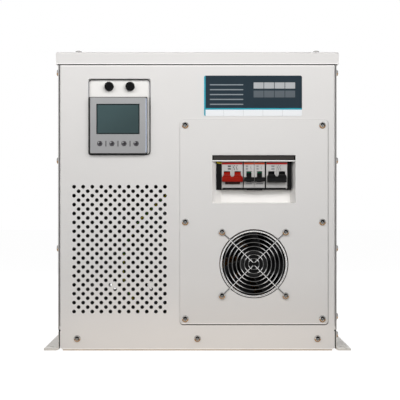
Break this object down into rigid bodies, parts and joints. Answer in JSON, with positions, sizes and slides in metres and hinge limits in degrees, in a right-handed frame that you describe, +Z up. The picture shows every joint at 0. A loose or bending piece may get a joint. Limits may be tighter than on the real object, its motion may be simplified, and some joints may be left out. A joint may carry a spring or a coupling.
{
  "type": "isolation transformer",
  "caption": "Floor standing isolation transformer in a vented sheet steel case, with a breaker window, a guarded fan, a panel meter and bolt-down feet.",
  "frame": {"origin": "on the floor, midway between the four foot holes", "axes": "+X to the right of the breaker and meter front, +Y from that front into the case, +Z up"},
  "size_m": [0.508, 0.3342, 0.4965],
  "materials": {
    "case_paint": "fine satin powder coat",
    "base_steel": "satin grey coat",
    "white_panel": "satin white coat",
    "grey_panel": "dark satin coat",
    "data_sheet": "printed film in plain bands of colour",
    "screw_steel": "bright plated",
    "zinc_steel": "zinc plated",
    "black_plastic": "fine moulded",
    "gloss_black": "glossy moulded",
    "white_plastic": "satin moulded",
    "red_plastic": "satin moulded",
    "grey_plastic": "fine moulded",
    "cream_plastic": "fine moulded",
    "display_glass": "clear over a dark display",
    "plated_brass": "nickel plated",
    "wire_chrome": "bright plated wire",
    "core_steel": "varnished laminations",
    "winding_copper": "varnished wire under film",
    "pad_rubber": "matt",
    "lead_sleeve": "two coloured sleeve"
  },
  "bodies": {
    "enclosure": {"base_frame": "base_steel", "front_panel": "case_paint", "left_side_panel": "case_paint", "right_side_panel": "case_paint", "back_panel": "case_paint", "lid": "case_paint", "service_plate": "case_paint", "recess_tray": "white_panel", "recess_hood": "grey_panel", "data_plate": "data_sheet", "meter_plate": "white_panel", "lid_screws": "screw_steel", "side_screws": "screw_steel", "front_panel_screws": "screw_steel", "back_panel_screws": "screw_steel", "service_plate_screws": "screw_steel", "meter_plate_nuts": "zinc_steel", "rail_brackets": "zinc_steel", "din_rail": "zinc_steel", "end_blanks": "black_plastic", "row_divider": "black_plastic", "main_switch": "white_plastic", "input_breaker": "white_plastic", "output_breaker": "white_plastic", "output_switch": "white_plastic", "meter_case_body": "gloss_black", "meter_fascia": "grey_plastic", "meter_display": "display_glass", "meter_clamps": "black_plastic", "fuse_holders": "black_plastic", "fuse_holder_nuts": "black_plastic", "fuse_links": "plated_brass", "fan_housing": "black_plastic", "fan_guard": "wire_chrome", "fan_screws": "screw_steel", "transformer_core": "core_steel", "coil_former": "cream_plastic", "primary_winding": "winding_copper", "secondary_winding": "winding_copper", "core_clamps": "base_steel", "core_bolts": "zinc_steel", "transformer_pads": "pad_rubber", "mounting_bolts": "zinc_steel", "coil_terminals": "cream_plastic", "earth_lead": "lead_sleeve", "gland_bodies": "black_plastic", "gland_dome_nuts": "black_plastic", "gland_locknuts": "black_plastic"},
    "fan_rotor": {"fan_rotor": "black_plastic"},
    "main_switch_lever": {"main_switch_lever": "red_plastic"},
    "input_breaker_lever": {"input_breaker_lever": "black_plastic"},
    "output_breaker_lever": {"output_breaker_lever": "black_plastic"},
    "output_switch_lever": {"output_switch_lever": "black_plastic"},
    "meter_button_1": {"meter_button_1": "grey_plastic"},
    "meter_button_2": {"meter_button_2": "grey_plastic"},
    "meter_button_3": {"meter_button_3": "grey_plastic"},
    "meter_button_4": {"meter_button_4": "grey_plastic"},
    "fuse_cap_left": {"fuse_cap_left": "black_plastic"},
    "fuse_cap_right": {"fuse_cap_right": "black_plastic"}
  },
  "joints": [
    {"name": "fan_spin", "type": "hinge", "parent": "enclosure", "child": "fan_rotor", "pos_m": [0.0932, -0.131, 0.1435], "axis": [0, 1, 0], "continuous": true},
    {"name": "main_switch_throw", "type": "hinge", "parent": "enclosure", "child": "main_switch_lever", "pos_m": [0.0578, -0.137, 0.2874], "axis": [-1, 0, 0], "range_deg": [0, 46]},
    {"name": "input_breaker_throw", "type": "hinge", "parent": "enclosure", "child": "input_breaker_lever", "pos_m": [0.0854, -0.137, 0.2874], "axis": [-1, 0, 0], "range_deg": [0, 46]},
    {"name": "output_breaker_throw", "type": "hinge", "parent": "enclosure", "child": "output_breaker_lever", "pos_m": [0.103, -0.137, 0.2874], "axis": [-1, 0, 0], "range_deg": [0, 46]},
    {"name": "output_switch_throw", "type": "hinge", "parent": "enclosure", "child": "output_switch_lever", "pos_m": [0.1314, -0.137, 0.2874], "axis": [-1, 0, 0], "range_deg": [0, 46]},
    {"name": "meter_button_1_press", "type": "slide", "parent": "enclosure", "child": "meter_button_1", "axis": [0, 1, 0], "range_m": [0, 0.0008], "stiffness_N_per_m": 400},
    {"name": "meter_button_2_press", "type": "slide", "parent": "enclosure", "child": "meter_button_2", "axis": [0, 1, 0], "range_m": [0, 0.0008], "stiffness_N_per_m": 400},
    {"name": "meter_button_3_press", "type": "slide", "parent": "enclosure", "child": "meter_button_3", "axis": [0, 1, 0], "range_m": [0, 0.0008], "stiffness_N_per_m": 400},
    {"name": "meter_button_4_press", "type": "slide", "parent": "enclosure", "child": "meter_button_4", "axis": [0, 1, 0], "range_m": [0, 0.0008], "stiffness_N_per_m": 400},
    {"name": "fuse_cap_left_turn", "type": "hinge", "parent": "enclosure", "child": "fuse_cap_left", "pos_m": [-0.14595, -0.148, 0.4365], "axis": [0, 1, 0], "range_deg": [0, 90]},
    {"name": "fuse_cap_right_turn", "type": "hinge", "parent": "enclosure", "child": "fuse_cap_right", "pos_m": [-0.11125, -0.148, 0.4365], "axis": [0, 1, 0], "range_deg": [0, 90]}
  ]
}
